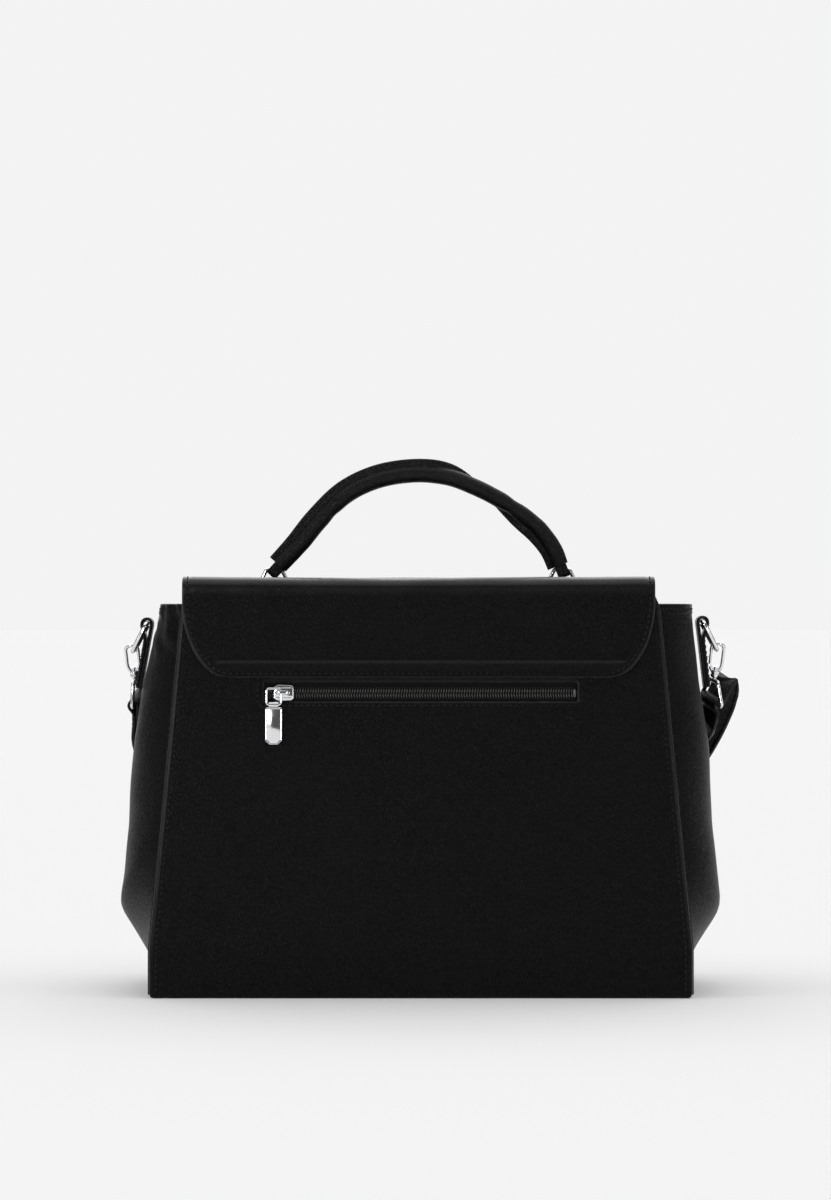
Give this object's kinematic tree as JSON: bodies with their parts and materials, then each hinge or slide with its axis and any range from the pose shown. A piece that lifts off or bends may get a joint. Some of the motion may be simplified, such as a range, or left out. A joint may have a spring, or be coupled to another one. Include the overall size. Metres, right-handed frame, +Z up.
{
  "type": "satchel bag",
  "caption": "Structured satchel bag with a fold-over flap, a short top handle on rings, a zipped back pocket, soft side gussets and a clip-on shoulder strap",
  "frame": {"origin": "on the floor under the middle of the base", "axes": "+X to the bag's right as seen from its zipped back, +Y from the zipped back to the flap's front, +Z up"},
  "size_m": [0.3638, 0.2257, 0.311],
  "materials": {
    "black_leather": "embossed polyurethane leather with a soft sheen",
    "lining_cloth": "woven",
    "grey_board": "compressed fibre board",
    "zip_tape": "woven",
    "zip_coil": "nylon",
    "chrome": "polished plating",
    "nickel": "nickel plated",
    "handle_cord": "twisted cord filler"
  },
  "bodies": {
    "bag": {"back_panel": "black_leather", "front_panel": "black_leather", "gusset_left": "black_leather", "gusset_right": "black_leather", "base_panel": "black_leather", "base_board": "grey_board", "main_lining": "lining_cloth", "slip_pocket": "black_leather", "zip_pocket": "lining_cloth", "zip_tape_upper": "zip_tape", "zip_tape_lower": "zip_tape", "zip_coil_upper": "zip_coil", "zip_coil_lower": "zip_coil", "zip_end_stop": "nickel", "flap_back": "black_leather", "side_tab_left": "black_leather", "side_tab_right": "black_leather", "snap_socket": "nickel", "shoulder_strap": "black_leather", "strap_tail": "black_leather", "strap_slide": "chrome"},
    "flap_top": {"flap_top": "black_leather", "handle_anchor_left": "black_leather", "handle_anchor_right": "black_leather"},
    "flap_front": {"flap_front": "black_leather", "snap_stud": "nickel"},
    "handle_ring_left": {"handle_ring_left": "chrome"},
    "handle_ring_right": {"handle_ring_right": "chrome"},
    "handle": {"handle_cover": "black_leather", "handle_core": "handle_cord", "handle_loop_left": "black_leather", "handle_loop_right": "black_leather"},
    "zip_slider": {"zip_slider": "chrome"},
    "puller_bail": {"puller_bail": "chrome"},
    "puller_tab": {"puller_tab": "chrome"},
    "side_ring_left": {"side_ring_left": "chrome"},
    "side_ring_right": {"side_ring_right": "chrome"},
    "strap_eye_left": {"strap_eye_left": "chrome", "strap_end_left": "black_leather"},
    "strap_eye_right": {"strap_eye_right": "chrome", "strap_end_right": "black_leather"},
    "snap_hook_left": {"snap_hook_left": "chrome"},
    "snap_hook_right": {"snap_hook_right": "chrome"},
    "hook_gate_left": {"hook_gate_left": "chrome"},
    "hook_gate_right": {"hook_gate_right": "chrome"}
  },
  "joints": [
    {"name": "flap_lift", "type": "hinge", "parent": "bag", "child": "flap_top", "pos_m": [0, -0.05189, 0.234], "axis": [1, 0, 0], "range_deg": [0, 150]},
    {"name": "flap_fold", "type": "hinge", "parent": "flap_top", "child": "flap_front", "pos_m": [0, 0.0529, 0.234], "axis": [1, 0, 0], "range_deg": [0, 40]},
    {"name": "handle_ring_left_turn", "type": "hinge", "parent": "flap_top", "child": "handle_ring_left", "pos_m": [-0.086, 0, 0.2386], "axis": [-1, 0, 0], "range_deg": [-40, 40]},
    {"name": "handle_ring_right_turn", "type": "hinge", "parent": "flap_top", "child": "handle_ring_right", "pos_m": [0.083, 0, 0.2386], "axis": [-1, 0, 0], "range_deg": [-40, 40]},
    {"name": "handle_turn", "type": "hinge", "parent": "handle_ring_left", "child": "handle", "pos_m": [-0.086, 0, 0.246], "axis": [-1, 0, 0], "range_deg": [-40, 40]},
    {"name": "zip_slide", "type": "slide", "parent": "bag", "child": "zip_slider", "axis": [1, 0, 0], "range_m": [0, 0.158]},
    {"name": "puller_bail_turn", "type": "hinge", "parent": "zip_slider", "child": "puller_bail", "pos_m": [-0.0802, -0.05648, 0.1748], "axis": [0, 0.0756, 0.9971], "range_deg": [0, 90]},
    {"name": "puller_tab_turn", "type": "hinge", "parent": "puller_bail", "child": "puller_tab", "pos_m": [-0.0844, -0.057, 0.16792], "axis": [-1, 0, 0], "range_deg": [0, 100]},
    {"name": "side_swing_right", "type": "hinge", "parent": "bag", "child": "strap_eye_right", "pos_m": [0.1653, 0, 0.2152], "axis": [0, -1, 0], "range_deg": [0, 50], "deforming": ["shoulder_strap", "strap_tail"]},
    {"name": "side_ring_right_turn", "type": "hinge", "parent": "bag", "child": "side_ring_right", "pos_m": [0.1653, 0, 0.2152], "axis": [0, -1, 0], "range_deg": [0, 50]},
    {"name": "hook_swivel_right", "type": "hinge", "parent": "strap_eye_right", "child": "snap_hook_right", "pos_m": [0.1744, 0.00002, 0.19866], "axis": [0.0872, -0.3078, 0.9474], "range_deg": [-12, 12]},
    {"name": "hook_gate_right_turn", "type": "hinge", "parent": "snap_hook_right", "child": "hook_gate_right", "pos_m": [0.17002, 0.00272, 0.19034], "axis": [0, 0.9511, 0.309], "range_deg": [0, 30], "stiffness_Nm_per_rad": 0.01, "springref_deg": -11.46},
    {"name": "side_swing_left", "type": "hinge", "parent": "bag", "child": "strap_eye_left", "pos_m": [-0.1604, 0, 0.2142], "axis": [0, 1, 0], "range_deg": [0, 50], "deforming": ["shoulder_strap"]},
    {"name": "side_ring_left_turn", "type": "hinge", "parent": "bag", "child": "side_ring_left", "pos_m": [-0.1604, 0, 0.2142], "axis": [0, 1, 0], "range_deg": [0, 50]},
    {"name": "hook_swivel_left", "type": "hinge", "parent": "strap_eye_left", "child": "snap_hook_left", "pos_m": [-0.1695, 0.00002, 0.19767], "axis": [-0.0698, -0.4373, 0.8966], "range_deg": [-12, 12]},
    {"name": "hook_gate_left_turn", "type": "hinge", "parent": "snap_hook_left", "child": "hook_gate_left", "pos_m": [-0.16527, 0.00389, 0.18974], "axis": [0, -0.8988, -0.4384], "range_deg": [0, 30], "stiffness_Nm_per_rad": 0.01, "springref_deg": -11.46}
  ],
  "couplings": [
    {"joint": "handle_ring_right_turn", "follows": "handle_ring_left_turn", "ratio": 1},
    {"joint": "side_ring_right_turn", "follows": "side_swing_right", "ratio": 1},
    {"joint": "side_ring_left_turn", "follows": "side_swing_left", "ratio": 1}
  ]
}
